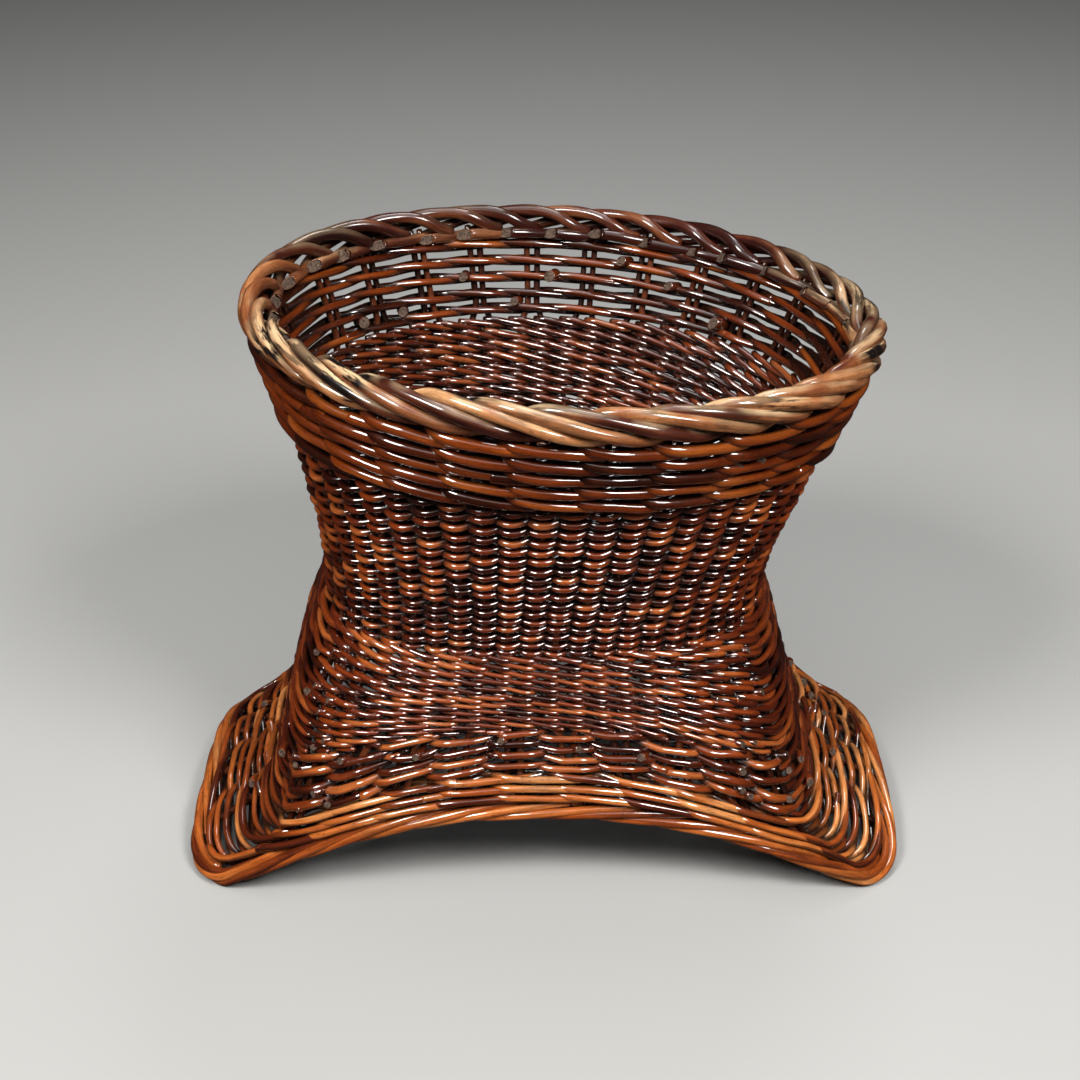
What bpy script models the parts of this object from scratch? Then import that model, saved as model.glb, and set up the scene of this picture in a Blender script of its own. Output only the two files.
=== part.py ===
"""Waisted wicker basket: an oval flared bowl woven on upright stakes, drawn in
to a waist that carries the floor, and spreading again into a flared foot that
stands on four toes.  Metres, +Z up, +X along the long side, origin on the
ground under the middle of the basket."""
import math

import bpy
import bmesh
import numpy as np
from mathutils import Vector

# ---------------------------------------------------------------- dimensions
MM = 0.001

FRONT_GAPS = 15          # stake spacings along the front
BACK_GAPS = 13           # stake spacings along the back
SIDE_GAPS = 5            # stake spacings along each short side
STAKES = FRONT_GAPS + BACK_GAPS + 2 * SIDE_GAPS

# The wall at seven heights.  Columns: level (0 foot edge, 1 mouth), height,
# half width, front half depth and squareness, back half depth and squareness,
# where the corner stake stands (share of the half width), sideways shift.
WALL_LEVELS = (
    # level  height   half_x  front  sq   back   sq   corner shift  (mm)
    (0.00,    0.0,    216.6,  112.8, 8.0, 102.0, 4.5, 0.91,   0.0),   # foot edge
    (0.08,   27.0,    178.2,  111.6, 8.0, 102.0, 4.6, 0.93,  -0.6),   # above the toes
    (0.22,   73.2,    155.4,  108.0, 6.5, 102.0, 4.6, 0.93,  -1.8),   # skirt
    (0.36,  118.8,    142.8,  103.2, 4.6, 100.2, 4.0, 0.92,  -2.4),   # below the waist
    (0.50,  164.4,    129.0,   99.6, 3.0,  98.4, 2.8, 0.91,  -0.6),   # waist
    (0.74,  249.0,    145.2,  114.0, 2.3, 114.0, 2.3, 0.90,   7.2),   # bowl
    (1.00,  331.8,    172.8,  143.4, 2.0, 143.4, 2.0, 0.90,  11.4),   # mouth
)
WAIST_LEVEL = 0.50
WAIST_HEIGHT = 164.4     # mm above the foot edge's centreline
FOOT_ARCH_LONG = 61.8    # rise of the foot edge at the middle of front and back, mm
FOOT_ARCH_SIDE = 10.8    # rise of the foot edge at the middle of each side, mm
MOUTH_TILT = 0.055       # the mouth leans down towards +X, radians

STAKE_RADIUS = 2.3 * MM
RIM_RADIUS = 8.5 * MM
FOOT_BORDER_RADIUS = 6.0 * MM
FOOT_BORDER_SINK = 1.2 * MM   # how much of the foot border is worn flat under the toes
LIFT = FOOT_BORDER_RADIUS - FOOT_BORDER_SINK

WALE_THICKNESS = 3.6 * MM
WEAVE_THICKNESS = 2.6 * MM
SKIRT_THICKNESS = 3.2 * MM
GAP = 0.35 * MM          # clearance between neighbouring pieces
COURSE_GAP = 1.6 * MM    # from a course's edge to the line where two courses meet
PASS_GAP = 0.9 * MM      # between a course and the stakes it passes
PASS_SHARE = 0.29        # a course runs straight for this share of the spacing each side of a stake

# Woven courses from the mouth down: name, upper level, lower level, thickness.
# A lower level of None runs down to the foot border, an upper one up to the rim.
COURSES = (
    ("upper_wale_top",    None,  0.921, WALE_THICKNESS),
    ("upper_wale_middle", 0.921, 0.869, WALE_THICKNESS),
    ("upper_wale_bottom", 0.869, 0.817, WALE_THICKNESS),
    ("bowl_weave_1",      0.817, 0.737, WEAVE_THICKNESS),
    ("bowl_weave_2",      0.737, 0.658, WEAVE_THICKNESS),
    ("bowl_weave_3",      0.658, 0.579, WEAVE_THICKNESS),
    ("bowl_weave_4",      0.579, 0.500, WEAVE_THICKNESS),
    ("foot_weave_1",      0.500, 0.380, WEAVE_THICKNESS),
    ("foot_weave_2",      0.380, 0.260, WEAVE_THICKNESS),
    ("skirt_weave_1",     0.260, 0.195, SKIRT_THICKNESS),
    ("skirt_weave_2",     0.195, 0.130, SKIRT_THICKNESS),
    ("foot_wale_1",       0.130, 0.085, WALE_THICKNESS),
    ("foot_wale_2",       0.085, None,  WALE_THICKNESS),
)

FLOOR_LEVEL = 0.50
FLOOR_THICKNESS = 6.0 * MM
FLOOR_INSET = 8.6 * MM   # from the stake line to the floor's edge
FLOOR_STICK_RADIUS = 2.6 * MM
FLOOR_STICK_X = (-0.076, -0.038, 0.0, 0.038, 0.076)

# colour (linear rgb) and roughness of the willow in each place
WILLOW = {
    "stake": ((0.105, 0.040, 0.018), 0.42),
    "rim": ((0.330, 0.165, 0.075), 0.45),
    "wale": ((0.190, 0.075, 0.030), 0.38),
    "weave": ((0.130, 0.045, 0.020), 0.36),
    "skirt": ((0.240, 0.090, 0.035), 0.40),
    "foot": ((0.280, 0.115, 0.045), 0.42),
    "floor": ((0.150, 0.060, 0.028), 0.50),
}


# ------------------------------------------------------------ the wall surface
def quarter(half_x, half_y, square, corner):
    """A quarter of a superellipse from the middle of the long side (x = 0) to
    the middle of the short side, with its running length."""
    th = np.linspace(0.0, math.pi / 2, 4001)
    x = half_x * np.sin(th) ** (2 / square)
    y = half_y * np.cos(th) ** (2 / square)
    length = np.concatenate([[0.0], np.cumsum(np.hypot(np.diff(x), np.diff(y)))])
    return x, y, length, float(np.interp(corner * half_x, x, length))


QUARTERS = [(quarter(r[2], r[3], r[4], r[7]), quarter(r[2], r[5], r[6], r[7]))
            for r in WALL_LEVELS]


def plan(row, s):
    """Plan position of stake coordinate s (0 at the front left corner, counting
    along the front towards +X) on one of the wall levels, mm."""
    s = np.asarray(s, float)
    u = np.mod(s + SIDE_GAPS / 2, STAKES) - SIDE_GAPS / 2
    on_front = u <= FRONT_GAPS + SIDE_GAPS / 2
    out = np.zeros(s.shape + (2,))
    halves = ((on_front, QUARTERS[row][0], FRONT_GAPS / 2, FRONT_GAPS / 2, 1, -1),
              (~on_front, QUARTERS[row][1],
               FRONT_GAPS + SIDE_GAPS + BACK_GAPS / 2, BACK_GAPS / 2, -1, 1))
    for mask, (x, y, length, to_corner), middle, half, sx, sy in halves:
        d = u[mask] - middle
        run = np.abs(d)
        l = np.where(run <= half, run / half * to_corner,
                     to_corner + (run - half) / (SIDE_GAPS / 2) * (length[-1] - to_corner))
        out[mask, 0] = sx * np.where(d < 0, -1, 1) * np.interp(l, length, x)
        out[mask, 1] = sy * np.interp(l, length, y)
    return out


def foot_arch(s):
    """Rise of the foot edge between the toes, mm."""
    s = np.asarray(s, float)
    u = np.mod(s + SIDE_GAPS / 2, STAKES) - SIDE_GAPS / 2
    on_front = u <= FRONT_GAPS + SIDE_GAPS / 2
    half = np.where(on_front, FRONT_GAPS / 2, BACK_GAPS / 2)
    middle = np.where(on_front, FRONT_GAPS / 2, FRONT_GAPS + SIDE_GAPS + BACK_GAPS / 2)
    along = np.abs(u - middle) <= half
    p = np.abs(plan(0, s))
    toe = np.abs(plan(0, np.array([0.0, FRONT_GAPS + SIDE_GAPS])))
    toe_x = np.where(on_front, toe[0, 0], toe[1, 0]) * 0.99
    toe_y = np.where(on_front, toe[0, 1], toe[1, 1]) * 0.90
    rise_long = FOOT_ARCH_LONG * np.clip(1 - (p[..., 0] / toe_x) ** 2.2, 0, 1)
    rise_side = FOOT_ARCH_SIDE * np.clip(1 - (p[..., 1] / toe_y) ** 2, 0, 1)
    return np.where(along, rise_long, rise_side)


def level_ring(row, s):
    """Points of one wall level at stake coordinates s, mm."""
    level, height, shift = WALL_LEVELS[row][0], WALL_LEVELS[row][1], WALL_LEVELS[row][8]
    p = plan(row, s)
    out = np.zeros(p.shape[:-1] + (3,))
    out[..., :2] = p
    out[..., 0] += shift
    if level < WAIST_LEVEL:
        rise = foot_arch(s)
        out[..., 2] = rise + (WAIST_HEIGHT - rise) * height / WAIST_HEIGHT
    else:
        lean = MOUTH_TILT * (level - WAIST_LEVEL) / (1 - WAIST_LEVEL)
        out[..., 2] = height - out[..., 0] * math.tan(lean)
    return out


KNOTS = np.array([r[0] for r in WALL_LEVELS])


def wall(s, v):
    """Stake-line surface in metres: stake coordinate s, level v."""
    s, v = np.broadcast_arrays(np.asarray(s, float), np.asarray(v, float))
    pts = np.stack([level_ring(k, s) for k in range(len(KNOTS))], 0)
    h = np.diff(KNOTS)
    step = [(pts[k + 1] - pts[k]) / h[k] for k in range(len(h))]
    tan = [step[0]]
    for k in range(1, len(h)):
        tan.append((step[k - 1] * h[k] + step[k] * h[k - 1]) / (h[k - 1] + h[k]))
    tan.append(step[-1])
    tan = np.stack(tan, 0)
    k = np.clip(np.searchsorted(KNOTS, v, side="right") - 1, 0, len(h) - 1)
    t = ((v - KNOTS[k]) / h[k])[..., None]
    hk = h[k][..., None]
    pick = np.indices(s.shape)

    def at(a, kk):
        return a[(kk,) + tuple(pick)]

    p = ((2 * t ** 3 - 3 * t ** 2 + 1) * at(pts, k) + (t ** 3 - 2 * t ** 2 + t) * hk * at(tan, k)
         + (-2 * t ** 3 + 3 * t ** 2) * at(pts, k + 1) + (t ** 3 - t ** 2) * hk * at(tan, k + 1))
    p = p * MM
    p[..., 2] += LIFT
    return p


def wall_frame(s, v):
    """Point, outward normal and climb (metres per unit of level) on the wall."""
    s, v = np.broadcast_arrays(np.asarray(s, float), np.asarray(v, float))
    p = wall(s, v)
    along = wall(s + 0.3, v) - wall(s - 0.3, v)
    lo, hi = np.clip(v - 0.004, 0, 1), np.clip(v + 0.004, 0, 1)
    up = (wall(s, hi) - wall(s, lo)) / (hi - lo)[..., None]
    n = np.cross(along, up)
    n /= np.linalg.norm(n, axis=-1, keepdims=True)
    return p, n, up


STAKE_S = np.arange(STAKES, dtype=float)
RIM_LINE_S = np.arange(STAKES) + 0.5          # one point of the rim border per stake
FOOT_LINE_S = np.arange(3 * STAKES) / 3.0     # three points of the foot border per stake


def clear_level(at_s, out, line_s, border_level, reach, inward):
    """The level nearest a border at which a point standing the given way out
    from the wall is at least the given reach from the border's centreline."""
    line = wall(line_s, np.full(len(line_s), border_level))
    line = np.concatenate([line + f * (np.roll(line, -1, 0) - line) for f in np.arange(8) / 8])
    steps = border_level + inward * np.arange(0, 0.14, 0.0005)
    pts, n, _ = wall_frame(at_s[:, None] + 0 * steps, steps[None, :] + 0 * at_s[:, None])
    levels = []
    for ladder in pts + out * n:
        d = np.linalg.norm(ladder[:, None, :] - line[None, :, :], axis=2).min(1)
        levels.append(steps[np.nonzero(d < reach)[0][-1] + 1])
    return np.array(levels)


FOOT_START = clear_level(STAKE_S, 0.0, FOOT_LINE_S, 0.0,
                         FOOT_BORDER_RADIUS + STAKE_RADIUS * 0.75 + GAP, 1)
RIM_END = clear_level(STAKE_S, 0.0, RIM_LINE_S, 1.0, RIM_RADIUS + 2 * GAP, -1)


# ------------------------------------------------------------------- the scene
for ob in list(bpy.data.objects):
    bpy.data.objects.remove(ob, do_unlink=True)

basket = bpy.data.collections.new("wicker_basket")
cutters = bpy.data.collections.new("cutters")
bpy.context.scene.collection.children.link(basket)
bpy.context.scene.collection.children.link(cutters)

root = bpy.data.objects.new("basket_origin", None)
basket.objects.link(root)


def willow(name, kind):
    colour, rough = WILLOW[kind]
    mat = bpy.data.materials.new(name)
    mat.use_nodes = True
    shader = mat.node_tree.nodes["Principled BSDF"]
    shader.inputs["Base Color"].default_value = (*colour, 1.0)
    shader.inputs["Roughness"].default_value = rough
    shader.inputs["Metallic"].default_value = 0.0
    mat.diffuse_color = (*colour, 1.0)
    return mat


def add_object(name, data, kind):
    data.materials.append(willow(name, kind))
    ob = bpy.data.objects.new(name, data)
    basket.objects.link(ob)
    ob.parent = root
    return ob


def rod(name, points, radius, kind, cyclic=False, resolution=1):
    """A willow rod: a poly spline with a round bevel and filled ends."""
    curve = bpy.data.curves.new(name, "CURVE")
    curve.dimensions = "3D"
    curve.bevel_depth = radius
    curve.bevel_resolution = resolution
    curve.use_fill_caps = not cyclic
    curve.twist_mode = "Z_UP" if cyclic else "MINIMUM"
    spline = curve.splines.new("POLY")
    spline.points.add(len(points) - 1)
    for pt, co in zip(spline.points, points):
        pt.co = (*co, 1.0)
    spline.use_cyclic_u = cyclic
    spline.use_smooth = True
    return add_object(name, curve, kind)


def as_mesh(ob):
    """Swap a curve object for the mesh it evaluates to, with its caps welded."""
    deps = bpy.context.evaluated_depsgraph_get()
    mesh = bpy.data.meshes.new_from_object(ob.evaluated_get(deps))
    bm = bmesh.new()
    bm.from_mesh(mesh)
    bmesh.ops.remove_doubles(bm, verts=bm.verts, dist=1e-6)
    bmesh.ops.recalc_face_normals(bm, faces=bm.faces)
    bm.to_mesh(mesh)
    bm.free()
    new = bpy.data.objects.new(ob.name + "_mesh", mesh)
    basket.objects.link(new)
    new.matrix_world = ob.matrix_world.copy()
    new.parent = ob.parent
    name = ob.name
    bpy.data.objects.remove(ob, do_unlink=True)
    new.name = name
    return new


# ------------------------------------------------------------------- 1. stakes
def stake_name(i):
    fr, rb, bl = FRONT_GAPS, FRONT_GAPS + SIDE_GAPS, FRONT_GAPS + SIDE_GAPS + BACK_GAPS
    corners = {0: "corner_stake_front_left", fr: "corner_stake_front_right",
               rb: "corner_stake_back_right", bl: "corner_stake_back_left"}
    if i in corners:
        return corners[i]
    if i < fr:
        return "front_stake_%02d" % i
    if i < rb:
        return "right_stake_%d" % (i - fr)
    if i < bl:
        return "back_stake_%02d" % (i - rb)
    return "left_stake_%d" % (i - bl)


def course_levels(i):
    """Levels where stake i passes from one woven course to the next."""
    inner = [c[2] for c in COURSES[:-1]]
    return np.array(sorted([FOOT_START[i], RIM_END[i]] + inner))


for i in range(STAKES):
    v = course_levels(i)
    rod(stake_name(i), wall(np.full(len(v), float(i)), v), STAKE_RADIUS, "stake")


# ------------------------------------------------------------ 2. woven courses
def woven_edge(v, phase, clear):
    """One edge of a woven course: it passes outside and inside the stakes by
    turns, running straight past each stake and crossing over between them."""
    axis, n, _ = wall_frame(STAKE_S, v)
    before, after = wall(STAKE_S - PASS_SHARE, v), wall(STAKE_S + PASS_SHARE, v)
    sag = ((axis - (before + after) / 2) * n).sum(1, keepdims=True)
    side = np.where((np.arange(STAKES) + phase) % 2 == 0, 1.0, -1.0)[:, None]
    shift = (sag + side * clear) * n
    return np.stack([before + shift, after + shift], 1).reshape(-1, 3)


def inset_level(at_s, v, direction):
    """Move an edge of a course off the line where two courses meet, measured
    square to that line."""
    _, _, climb = wall_frame(at_s, v)
    along = wall(at_s + 0.12, v) - wall(at_s - 0.12, v)
    along /= np.linalg.norm(along, axis=1, keepdims=True)
    return v + direction * COURSE_GAP / np.linalg.norm(np.cross(along, climb), axis=1)


def strip(name, lower, upper, thickness, kind):
    """An open strip between two closed edges, given its rod thickness."""
    bm = bmesh.new()
    loops = [[bm.verts.new(co) for co in edge] for edge in (lower, upper)]
    for a in range(len(loops[0])):
        b = (a + 1) % len(loops[0])
        bm.faces.new((loops[0][a], loops[0][b], loops[1][b], loops[1][a]))
    mesh = bpy.data.meshes.new(name)
    bm.to_mesh(mesh)
    bm.free()
    ob = add_object(name, mesh, kind)
    solid = ob.modifiers.new("rod_thickness", "SOLIDIFY")
    solid.thickness = thickness
    solid.offset = 0.0
    solid.use_even_offset = True
    solid.use_rim = True
    return ob


def woven_course(name, top, bottom, thickness, phase, kind):
    """A course that goes outside one stake and inside the next."""
    hi = RIM_END if top is None else np.full(STAKES, top)
    hi, lo = inset_level(STAKE_S, hi, -1), inset_level(STAKE_S, np.full(STAKES, bottom), 1)
    clear = STAKE_RADIUS + thickness / 2 + PASS_GAP
    return strip(name, woven_edge(lo, phase, clear), woven_edge(hi, phase, clear), thickness, kind)


def outer_course(name, top, bottom, thickness, kind):
    """A course of the foot's wale, which lies outside every stake."""
    s = np.arange(3 * STAKES) / 3.0
    out = STAKE_RADIUS + thickness / 2 + PASS_GAP
    hi = inset_level(s, np.full(len(s), top), -1)
    if bottom is None:
        lo = clear_level(s, out, FOOT_LINE_S, 0.0,
                         FOOT_BORDER_RADIUS + thickness / 2 + 2 * GAP, 1)
    else:
        lo = inset_level(s, np.full(len(s), bottom), 1)
    edges = []
    for v in (lo, hi):
        p, n, _ = wall_frame(s, v)
        edges.append(p + out * n)
    return strip(name, edges[0], edges[1], thickness, kind)


for k, (name, top, bottom, thickness) in enumerate(COURSES):
    if "foot_wale" in name:
        outer_course(name, top, bottom, thickness, "foot")
    else:
        kind = "wale" if "wale" in name else "skirt" if "skirt" in name else "weave"
        woven_course(name, top, bottom, thickness, k % 2, kind)


# ------------------------------------------------------- 3. rim and foot borders
rod("rim_border", wall(RIM_LINE_S, np.ones(len(RIM_LINE_S))), RIM_RADIUS, "rim", True, 2)

foot = rod("foot_border", wall(FOOT_LINE_S, np.zeros(len(FOOT_LINE_S))), FOOT_BORDER_RADIUS,
           "foot", True, 2)
foot = as_mesh(foot)

# the ground wears the underside of the four toes flat
ground = bmesh.new()
bmesh.ops.create_cube(ground, size=1.0)
bmesh.ops.scale(ground, verts=ground.verts, vec=(0.6, 0.5, 0.05))
bmesh.ops.translate(ground, verts=ground.verts, vec=(0.0, 0.0, -0.025))
ground_mesh = bpy.data.meshes.new("ground_cutter")
ground.to_mesh(ground_mesh)
ground.free()
cutter = bpy.data.objects.new("ground_cutter", ground_mesh)
cutters.objects.link(cutter)
cutter.hide_render = True
cutter.display_type = "WIRE"
flat = foot.modifiers.new("worn_toes", "BOOLEAN")
flat.operation = "DIFFERENCE"
flat.object = cutter
flat.solver = "EXACT"


# -------------------------------------------------------------------- 4. floor
def floor_outline(inset):
    s = np.arange(2 * STAKES) / 2.0
    p, n, _ = wall_frame(s, np.full(len(s), FLOOR_LEVEL))
    flat_n = n[:, :2] / np.linalg.norm(n[:, :2], axis=1, keepdims=True)
    return p[:, :2] - inset * flat_n


floor_z = WAIST_HEIGHT * MM + LIFT
outline = floor_outline(FLOOR_INSET)
floor_curve = bpy.data.curves.new("floor_weave", "CURVE")
floor_curve.dimensions = "2D"
floor_curve.fill_mode = "BOTH"
floor_curve.extrude = FLOOR_THICKNESS / 2
spline = floor_curve.splines.new("POLY")
spline.points.add(len(outline) - 1)
for pt, (x, y) in zip(spline.points, outline):
    pt.co = (x, y, 0.0, 1.0)
spline.use_cyclic_u = True
floor = add_object("floor_weave", floor_curve, "floor")
floor.location = Vector((0.0, 0.0, floor_z))

stick_z = floor_z - FLOOR_THICKNESS / 2 - GAP - FLOOR_STICK_RADIUS
for j, x in enumerate(FLOOR_STICK_X, 1):
    # the stick reaches across the floor, a little short of the wall on each side
    front = outline[outline[:, 1] < 0]
    back = outline[outline[:, 1] > 0]
    y0 = float(np.interp(x, *front[np.argsort(front[:, 0])].T))
    y1 = float(np.interp(x, *back[np.argsort(back[:, 0])].T))
    ys = np.linspace(y0 + 2 * MM, y1 - 2 * MM, 3)
    rod("floor_stick_%d" % j, [(x, y, stick_z) for y in ys], FLOOR_STICK_RADIUS, "floor")

# round pieces shade smooth
for ob in basket.objects:
    if ob.type == "MESH":
        ob.data.shade_smooth()
        ob.data.set_sharp_from_angle(angle=math.radians(40))
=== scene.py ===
"""Looks of a waisted wicker basket.  Every willow rod is its own tube: upright
stakes, weavers that pass in front of one stake and behind the next, twisted
wale rods, rolled borders with cut ends, and a woven floor.  Metres, +Z up."""
import math

import bpy
import numpy as np
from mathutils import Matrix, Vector


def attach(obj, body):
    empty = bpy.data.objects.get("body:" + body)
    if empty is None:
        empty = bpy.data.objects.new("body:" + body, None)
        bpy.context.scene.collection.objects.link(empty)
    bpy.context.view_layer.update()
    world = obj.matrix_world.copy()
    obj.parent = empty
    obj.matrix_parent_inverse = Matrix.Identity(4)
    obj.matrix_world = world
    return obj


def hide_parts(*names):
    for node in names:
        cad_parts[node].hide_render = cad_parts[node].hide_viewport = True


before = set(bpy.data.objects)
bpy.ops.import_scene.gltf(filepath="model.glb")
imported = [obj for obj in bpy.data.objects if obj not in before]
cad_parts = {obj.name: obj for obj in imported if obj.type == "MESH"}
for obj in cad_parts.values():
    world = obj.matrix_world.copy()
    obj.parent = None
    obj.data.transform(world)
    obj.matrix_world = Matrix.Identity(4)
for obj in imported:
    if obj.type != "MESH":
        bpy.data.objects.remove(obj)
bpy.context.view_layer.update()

RNG = np.random.default_rng(20)
MM = 0.001

# ------------------------------------------------------------ the wall surface
FRONT_GAPS, BACK_GAPS, SIDE_GAPS = 19, 19, 5
STAKES = FRONT_GAPS + BACK_GAPS + 2 * SIDE_GAPS
WALL_LEVELS = (
    # level  height   half_x  front  sq   back   sq   corner shift  (mm)
    (0.00,    0.0,    216.6,  112.8, 8.0, 102.0, 4.5, 0.91,   0.0),
    (0.08,   27.0,    178.2,  111.6, 8.0, 102.0, 4.6, 0.93,  -0.6),
    (0.22,   73.2,    155.4,  108.0, 6.5, 102.0, 4.6, 0.93,  -1.8),
    (0.36,  118.8,    142.8,  103.2, 4.6, 100.2, 4.0, 0.92,  -2.4),
    (0.50,  164.4,    129.0,   99.6, 3.0,  98.4, 2.8, 0.91,  -0.6),
    (0.74,  249.0,    145.2,  114.0, 2.3, 114.0, 2.3, 0.90,   7.2),
    (1.00,  331.8,    172.8,  143.4, 2.0, 143.4, 2.0, 0.90,  11.4),
)
WAIST_LEVEL, WAIST_HEIGHT = 0.50, 164.4
FOOT_ARCH_LONG, FOOT_ARCH_SIDE = 61.8, 10.8
MOUTH_TILT = 0.055
LIFT = 4.8 * MM
STAKE_R = 2.05 * MM


def quarter(half_x, half_y, square, corner):
    th = np.linspace(0.0, math.pi / 2, 4001)
    x = half_x * np.sin(th) ** (2 / square)
    y = half_y * np.cos(th) ** (2 / square)
    length = np.concatenate([[0.0], np.cumsum(np.hypot(np.diff(x), np.diff(y)))])
    return x, y, length, float(np.interp(corner * half_x, x, length))


QUARTERS = [(quarter(r[2], r[3], r[4], r[7]), quarter(r[2], r[5], r[6], r[7]))
            for r in WALL_LEVELS]


def plan(row, s):
    s = np.asarray(s, float)
    u = np.mod(s + SIDE_GAPS / 2, STAKES) - SIDE_GAPS / 2
    on_front = u <= FRONT_GAPS + SIDE_GAPS / 2
    out = np.zeros(s.shape + (2,))
    halves = ((on_front, QUARTERS[row][0], FRONT_GAPS / 2, FRONT_GAPS / 2, 1, -1),
              (~on_front, QUARTERS[row][1],
               FRONT_GAPS + SIDE_GAPS + BACK_GAPS / 2, BACK_GAPS / 2, -1, 1))
    for mask, (x, y, length, to_corner), middle, half, sx, sy in halves:
        d = u[mask] - middle
        run = np.abs(d)
        l = np.where(run <= half, run / half * to_corner,
                     to_corner + (run - half) / (SIDE_GAPS / 2) * (length[-1] - to_corner))
        out[mask, 0] = sx * np.where(d < 0, -1, 1) * np.interp(l, length, x)
        out[mask, 1] = sy * np.interp(l, length, y)
    return out


def foot_arch(s):
    s = np.asarray(s, float)
    u = np.mod(s + SIDE_GAPS / 2, STAKES) - SIDE_GAPS / 2
    on_front = u <= FRONT_GAPS + SIDE_GAPS / 2
    half = np.where(on_front, FRONT_GAPS / 2, BACK_GAPS / 2)
    middle = np.where(on_front, FRONT_GAPS / 2, FRONT_GAPS + SIDE_GAPS + BACK_GAPS / 2)
    along = np.abs(u - middle) <= half
    p = np.abs(plan(0, s))
    toe = np.abs(plan(0, np.array([0.0, FRONT_GAPS + SIDE_GAPS])))
    toe_x = np.where(on_front, toe[0, 0], toe[1, 0]) * 0.99
    toe_y = np.where(on_front, toe[0, 1], toe[1, 1]) * 0.90
    rise_long = FOOT_ARCH_LONG * np.clip(1 - (p[..., 0] / toe_x) ** 2.2, 0, 1)
    rise_side = FOOT_ARCH_SIDE * np.clip(1 - (p[..., 1] / toe_y) ** 2, 0, 1)
    return np.where(along, rise_long, rise_side)


def level_ring(row, s):
    level, height, shift = WALL_LEVELS[row][0], WALL_LEVELS[row][1], WALL_LEVELS[row][8]
    p = plan(row, s)
    out = np.zeros(p.shape[:-1] + (3,))
    out[..., :2] = p
    out[..., 0] += shift
    if level < WAIST_LEVEL:
        rise = foot_arch(s)
        out[..., 2] = rise + (WAIST_HEIGHT - rise) * height / WAIST_HEIGHT
    else:
        lean = MOUTH_TILT * (level - WAIST_LEVEL) / (1 - WAIST_LEVEL)
        out[..., 2] = height - out[..., 0] * math.tan(lean)
    return out


KNOTS = np.array([r[0] for r in WALL_LEVELS])


def wall(s, v):
    """Stake-line surface in metres: stake coordinate s, level v."""
    s, v = np.broadcast_arrays(np.asarray(s, float), np.asarray(v, float))
    pts = np.stack([level_ring(k, s) for k in range(len(KNOTS))], 0)
    h = np.diff(KNOTS)
    step = [(pts[k + 1] - pts[k]) / h[k] for k in range(len(h))]
    tan = [step[0]]
    for k in range(1, len(h)):
        tan.append((step[k - 1] * h[k] + step[k] * h[k - 1]) / (h[k - 1] + h[k]))
    tan.append(step[-1])
    tan = np.stack(tan, 0)
    k = np.clip(np.searchsorted(KNOTS, v, side="right") - 1, 0, len(h) - 1)
    t = ((v - KNOTS[k]) / h[k])[..., None]
    hk = h[k][..., None]
    pick = np.indices(s.shape)

    def at(a, kk):
        return a[(kk,) + tuple(pick)]

    p = ((2 * t ** 3 - 3 * t ** 2 + 1) * at(pts, k) + (t ** 3 - 2 * t ** 2 + t) * hk * at(tan, k)
         + (-2 * t ** 3 + 3 * t ** 2) * at(pts, k + 1) + (t ** 3 - t ** 2) * hk * at(tan, k + 1))
    p = p * MM
    p[..., 2] += LIFT
    return p


def unit(a):
    return a / np.maximum(np.linalg.norm(a, axis=-1, keepdims=True), 1e-12)


def wall_frame(s, v):
    """Point, outward normal and unit climb along the stake."""
    s, v = np.broadcast_arrays(np.asarray(s, float), np.asarray(v, float))
    p = wall(s, v)
    along = wall(s + 0.3, v) - wall(s - 0.3, v)
    lo, hi = np.clip(v - 0.004, 0, 1), np.clip(v + 0.004, 0, 1)
    up = unit(wall(s, hi) - wall(s, lo))
    return p, unit(np.cross(along, up)), up


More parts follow.
